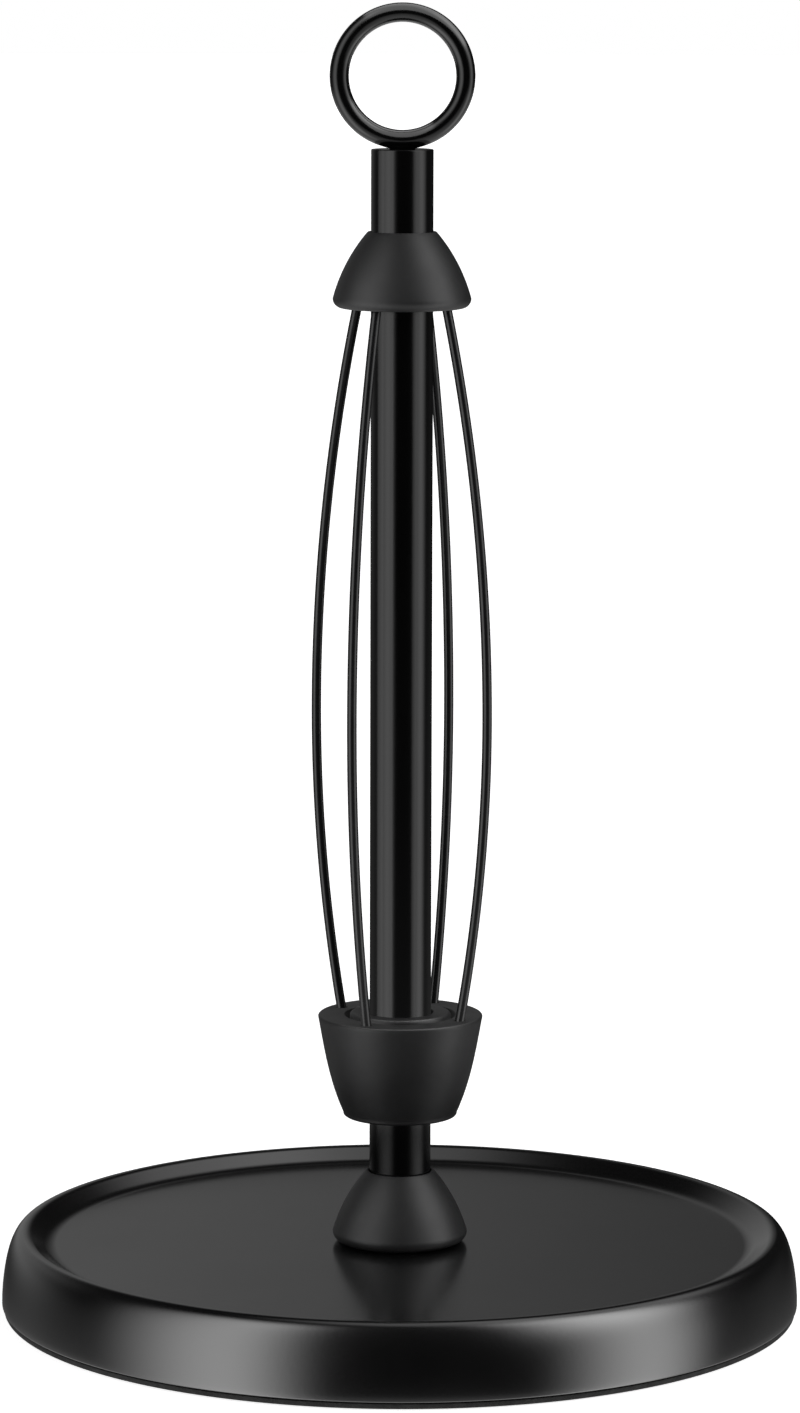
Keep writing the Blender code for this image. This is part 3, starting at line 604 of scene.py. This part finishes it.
def flared_cup():
    """Cup with a rounded top edge, a deep well round the hub and four wire sockets."""
    foot_flat, foot_centre, foot_fillet = 0.0129, 0.0131, 0.0009
    side_start = (0.0139, CUP_BOTTOM + 0.0008)
    side_pull_low, side_pull_high = (0.0175, 0.0566), (0.01866, 0.0646)
    top_fillet, mouth_fillet = 0.0005, 0.0003
    web_low, web_high, journal, counterbore = 0.0508, 0.0530, 0.0101, 0.0120
    outline = ([(counterbore, CUP_BOTTOM), (foot_flat, CUP_BOTTOM)]
               + arc((foot_centre, CUP_BOTTOM + foot_fillet), foot_fillet, -80, -25, 5)
               + bezier(side_start, side_pull_low, side_pull_high,
                        (CUP_TOP_RADIUS, CUP_TOP - top_fillet), 40)
               + arc((CUP_TOP_RADIUS - top_fillet, CUP_TOP - top_fillet), top_fillet, 12, 90, 6)
               + arc((CUP_CAVITY_RADIUS + mouth_fillet, CUP_TOP - mouth_fillet), mouth_fillet,
                     90, 180, 4)
               + [(CUP_CAVITY_RADIUS, web_high), (journal, web_high), (journal, web_low),
                  (counterbore, web_low)])
    cup = turned_piece("flared_cup", outline, CUP_SIDES)
    drill(cup, wire_places(bow_radius(CUP_TOP - WIRE_BEND_DEPTH)),
          socket(bottom("spring_wire_1") - GAP, CUP_TOP + DRILL_OVERSHOOT))
    dress(cup, "cage", "soft_touch", "lower_cup")
    cup.visible_glossy = False


def cage_wires():
    """Four bowed wires that follow the cup below and the collar above."""
    retainer = bottom("wire_retainer")
    low_bend, high_bend = CUP_TOP - WIRE_BEND_DEPTH, retainer + WIRE_BEND_DEPTH
    low_radius, high_radius, steps = bow_radius(low_bend), bow_radius(high_bend), 96
    heights = [low_bend + (high_bend - low_bend) * i / steps for i in range(steps + 1)]
    for number in range(WIRE_COUNT):
        node = f"spring_wire_{number + 1}"
        low, high = bottom(node), top(node)
        path = ([(low_radius, low), (low_radius, low + WIRE_END_BREAK)]
                + [(bow_radius(height), height) for height in heights]
                + [(high_radius, high - WIRE_END_BREAK), (high_radius, high)])
        wire = swept_rod(f"cage_wire_{number + 1}", path, WIRE_RADIUS)
        wire.data.transform(Matrix.Rotation(WIRE_AZIMUTH + tau * number / WIRE_COUNT, 4, "Z"))
        dress(wire, None, "wire_coating", node)
        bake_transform(wire)
        wire.visible_glossy = False


# ---------------------------------------------------------------- top collar
def collar_bell():
    """Bell at the top of the cage, hollow for the bush, the wires' ends and the socket disc."""
    low, high = bottom("top_collar"), top("top_collar")
    disc_radius, ledge = radius_of("wire_retainer") + GAP, top("wire_retainer") + GAP
    bush_radius, bush_top = radius_of("collar_bush") + GAP, top("collar_bush") + GAP
    bore, hollow_radius, ceiling = 0.0079, 0.0137, top("spring_wire_1") + GAP
    outline = (bell_side(radius_of("top_collar"), low, high - BELL_TOP_BREAK)
               + [(BELL_TOP_RADIUS - BELL_TOP_BREAK, high), (bore, high), (bore, bush_top),
                  (bush_radius, bush_top), (bush_radius, ceiling), (hollow_radius, ceiling),
                  (hollow_radius, ledge), (disc_radius, ledge), (disc_radius, low + EDGE_BREAK),
                  (disc_radius + EDGE_BREAK, low)])
    dress(turned_piece("collar_bell", outline), "collar", "soft_touch", "top_collar")


def socket_disc():
    """Disc in the collar's mouth that the wires pass through."""
    low, high, outer_break = bottom("wire_retainer"), top("wire_retainer"), 0.0003
    outer, inner = radius_of("wire_retainer"), radius_of("collar_bush") + GAP
    outline = rounded([(inner, low, EDGE_BREAK), (outer, low, outer_break),
                       (outer, high, outer_break), (inner, high, EDGE_BREAK)])
    disc = turned_piece("socket_disc", outline)
    drill(disc, wire_places(bow_radius(low + WIRE_BEND_DEPTH)),
          socket(low - DRILL_OVERSHOOT, high + DRILL_OVERSHOOT))
    dress(disc, "collar", "soft_touch", "wire_retainer")


# ---------------------------------------------------------------- light, floor and camera
class Sky:
    """Surroundings made of soft patches of light, placed by the direction they are seen in."""

    def __init__(self, world):
        world.use_nodes = True
        self.nodes, self.links = world.node_tree.nodes, world.node_tree.links
        self.nodes.clear()
        self.direction = self.nodes.new("ShaderNodeTexCoord").outputs["Generated"]
        split = self.nodes.new("ShaderNodeSeparateXYZ")
        self.links.new(self.direction, split.inputs["Vector"])
        front = self.math("MULTIPLY", split.outputs["Y"], -1.0)
        self.azimuth = self.math("ARCTAN2", split.outputs["X"], front)
        self.back_azimuth = self.math("ARCTAN2", split.outputs["X"], split.outputs["Y"])
        self.elevation = self.math("ARCSINE", split.outputs["Z"])
        self.total = None

    def math(self, operation, first, second=None):
        node = self.nodes.new("ShaderNodeMath")
        node.operation = operation
        self.links.new(first, node.inputs[0])
        if isinstance(second, float):
            node.inputs[1].default_value = second
        elif second is not None:
            self.links.new(second, node.inputs[1])
        return node.outputs["Value"]

    def step(self, value, start, end):
        """Smooth rise from 0 at one angle to 1 at another, in degrees."""
        node = self.nodes.new("ShaderNodeMapRange")
        node.interpolation_type = "SMOOTHSTEP"
        rising = start < end
        node.inputs["From Min"].default_value = radians(min(start, end))
        node.inputs["From Max"].default_value = radians(max(start, end))
        node.inputs["To Min"].default_value = 0.0 if rising else 1.0
        node.inputs["To Max"].default_value = 1.0 if rising else 0.0
        self.links.new(value, node.inputs["Value"])
        return node.outputs["Result"]

    def add(self, factors, strength):
        """Add the product of the factors, at a strength, to the light."""
        product = factors[0]
        for factor in factors[1:]:
            product = self.math("MULTIPLY", product, factor)
        product = self.math("MULTIPLY", product, strength)
        self.total = product if self.total is None else self.math("ADD", self.total, product)

    def panel(self, sides, heights, strength, behind=False):
        """Patch between four azimuths (start, full, full, end) and four elevations, in degrees."""
        azimuth = self.back_azimuth if behind else self.azimuth
        self.add([self.step(azimuth, sides[0], sides[1]), self.step(azimuth, sides[3], sides[2]),
                  self.step(self.elevation, heights[0], heights[1]),
                  self.step(self.elevation, heights[3], heights[2])], strength)

    def disc(self, axis, full, end, strength):
        """Round patch about an axis, fading out between two angles from it, in degrees."""
        node = self.nodes.new("ShaderNodeVectorMath")
        node.operation = "DOT_PRODUCT"
        node.inputs[1].default_value = Vector(axis).normalized()
        self.links.new(self.direction, node.inputs[0])
        off_axis = self.math("ARCCOSINE", node.outputs["Value"])
        self.add([self.step(off_axis, end, full)], strength)

    def finish(self):
        """Light the object with the patches, and show the camera a plain white backdrop."""
        light = self.nodes.new("ShaderNodeBackground")
        self.links.new(self.total, light.inputs["Color"])
        backdrop = self.nodes.new("ShaderNodeBackground")
        backdrop.inputs["Color"].default_value = (1.0, 1.0, 1.0, 1.0)
        seen = self.nodes.new("ShaderNodeLightPath")
        choose = self.nodes.new("ShaderNodeMixShader")
        self.links.new(seen.outputs["Is Camera Ray"], choose.inputs["Fac"])
        self.links.new(light.outputs["Background"], choose.inputs[1])
        self.links.new(backdrop.outputs["Background"], choose.inputs[2])
        output = self.nodes.new("ShaderNodeOutputWorld")
        self.links.new(choose.outputs["Shader"], output.inputs["Surface"])


def around(azimuth, distance):
    """Place at the post's mid height, at an azimuth to the right of the camera in degrees."""
    return (distance * sin(radians(azimuth)), -distance * cos(radians(azimuth)), POST_TOP / 2)


def lamp(name, place, facing, size, radiance, pieces, unblocked=False):
    """Soft rectangular lamp that only shows as a reflection in the named pieces.

    It faces down, up or the post. When it is unblocked, no other piece comes in between.
    """
    data = bpy.data.lights.new(name, "AREA")
    data.shape, data.size, data.size_y = "RECTANGLE", size[0], size[1]
    data.energy = radiance * pi * size[0] * size[1]
    light = add_object(name, data)
    light.location = place
    if facing == "up":
        light.rotation_euler = (pi, 0.0, 0.0)
    elif facing == "post":
        inward = Vector((-place[0], -place[1], 0.0))
        light.rotation_euler = inward.to_track_quat("-Z", "Y").to_euler()
    light.visible_camera = False
    light.visible_diffuse = False
    lit = bpy.data.collections.new(name + "_pieces")
    for piece in pieces:
        lit.objects.link(bpy.data.objects[piece])
    light.light_linking.receiver_collection = lit
    if unblocked:
        light.light_linking.blocker_collection = lit


ALL_ROUND = (-181.0, -180.0, 180.0, 181.0)    # azimuths of a patch with no sides
NADIR = (-91.0, -90.0)                        # elevations of a patch with no lower edge


def surroundings():
    """Soft light from all round, placed for the highlights on the base."""
    scene = bpy.context.scene
    scene.view_settings.view_transform = "Standard"
    scene.world = bpy.data.worlds.new("studio")
    sky = Sky(scene.world)
    # tall panels to the left and right of the camera, and the brighter top of the right one
    sky.panel((-98.0, -50.0, -49.0, -19.0), (-64.0, -44.0, 45.0, 72.0), 2.20)
    sky.panel((38.0, 74.0, 75.0, 104.0), (-64.0, -44.0, 45.0, 72.0), 2.05)
    sky.panel((28.0, 55.0, 88.0, 110.0), (5.0, 35.0, 60.0, 80.0), 1.2)
    # weak light past the base's left and right ends, and low in front
    sky.panel((-160.0, -125.0, -95.0, -70.0), (*NADIR, -12.0, 16.0), 0.09)
    sky.panel((70.0, 95.0, 125.0, 160.0), (*NADIR, -12.0, 16.0), 0.06)
    sky.panel(ALL_ROUND, (*NADIR, -26.0, -10.0), 0.08)
    # overhead, for the base's floor, and low behind, for its far rim
    sky.disc((0.08, 0.12, 0.98), 10.0, 26.0, 0.45)
    sky.disc((0.50, 0.30, 0.81), 8.0, 30.0, 0.57)
    sky.panel((-75.0, -35.0, -10.0, 11.0), (-12.0, 5.0, 18.0, 40.0), 0.20, behind=True)
    # the white table, and a trace of light everywhere
    sky.panel(ALL_ROUND, (-91.0, -90.5, -65.0, -5.0), 0.80)
    sky.add([sky.step(sky.elevation, -95.0, -90.5)], 0.008)
    sky.finish()


def lamps():
    """Lamps whose reflections show in the ring, the cup, the post or the bells only."""
    ring, tube, bells = ["finger_ring"], ["post_sleeve"], ["collar_bell", "foot_bell"]
    cup = ["flared_cup", "hub_rim"]
    lamp("ceiling_on_ring", (0.27, -0.20, RING_CENTRE + 0.35), "down", (1.00, 0.90), 2.8, ring,
         unblocked=True)
    lamp("table_under_ring", (0.0, 0.0, 0.0005), "up", (2.4, 2.4), 0.45, ring, unblocked=True)
    lamp("ceiling_on_cup", (0.05, 0.13, RING_CENTRE + 0.30), "down", (0.60, 0.20), 8.2, cup)
    lamp("post_left", around(-85.0, 2.0), "post", (0.95, 3.0), 0.9, tube, unblocked=True)
    lamp("post_left_inner", around(-34.5, 2.0), "post", (0.25, 3.0), 0.9, tube, unblocked=True)
    lamp("post_right_inner", around(50.0, 2.0), "post", (0.60, 3.0), 0.75, tube, unblocked=True)
    lamp("bells_left", around(-85.0, 2.0), "post", (0.95, 3.0), 0.9, bells)
    lamp("bells_right", around(82.0, 2.0), "post", (0.90, 3.0), 0.6, bells)


def studio_paper():
    """White paper that is clear from below, so that the underside can be seen."""
    paper = bpy.data.materials.new("studio_paper")
    paper.use_nodes = True
    nodes, links = paper.node_tree.nodes, paper.node_tree.links
    shader = nodes["Principled BSDF"]
    shader.inputs["Base Color"].default_value = (0.88, 0.88, 0.88, 1.0)
    shader.inputs["Roughness"].default_value = 0.9
    shader.inputs["Emission Color"].default_value = (1.0, 1.0, 1.0, 1.0)
    shader.inputs["Emission Strength"].default_value = 0.80
    seen_from_below = nodes.new("ShaderNodeNewGeometry").outputs["Backfacing"]
    clear = nodes.new("ShaderNodeBsdfTransparent")
    choose = nodes.new("ShaderNodeMixShader")
    links.new(seen_from_below, choose.inputs["Fac"])
    links.new(shader.outputs["BSDF"], choose.inputs[1])
    links.new(clear.outputs["BSDF"], choose.inputs[2])
    links.new(choose.outputs["Shader"], nodes["Material Output"].inputs["Surface"])
    return paper


def studio_floor():
    """Plain floor just under the pad."""
    bm = bmesh.new()
    bmesh.ops.create_circle(bm, cap_ends=True, segments=64, radius=12.0)
    mesh = bpy.data.meshes.new("studio_floor")
    bm.to_mesh(mesh)
    bm.free()
    mesh.materials.append(studio_paper())
    floor = add_object("studio_floor", mesh)
    floor.location.z = -GAP
    floor.visible_glossy = False
    floor.visible_diffuse = False


def camera():
    """Camera a little above the finger ring, looking down at the holder with a long lens."""
    data = bpy.data.cameras.new("view")
    data.lens = CAMERA_LENS
    data.sensor_width = 36.0
    data.clip_end = 100.0
    eye = add_object("view", data)
    eye.matrix_world = (Matrix.Translation(CAMERA_PLACE)
                        @ Matrix.Rotation(radians(90.0 - CAMERA_TILT), 4, "X")
                        @ Matrix.Rotation(radians(CAMERA_ROLL), 4, "Z"))
    bpy.context.scene.camera = eye


# ---------------------------------------------------------------- build
camera()
for make in (base_shell, non_slip_disc, post, foot_bell, finger_ring, hub_rim, leaf_springs,
             flared_cup, cage_wires, collar_bell, socket_disc):
    make()
slots = {row["node"]: row["material_slot"] for row in frame["record"]["subparts"]}
for node, cad in frame["nodes"].items():
    cad.data.materials.clear()
    cad.data.materials.append(LOOKS[slots[node]])
surroundings()
lamps()
studio_floor()
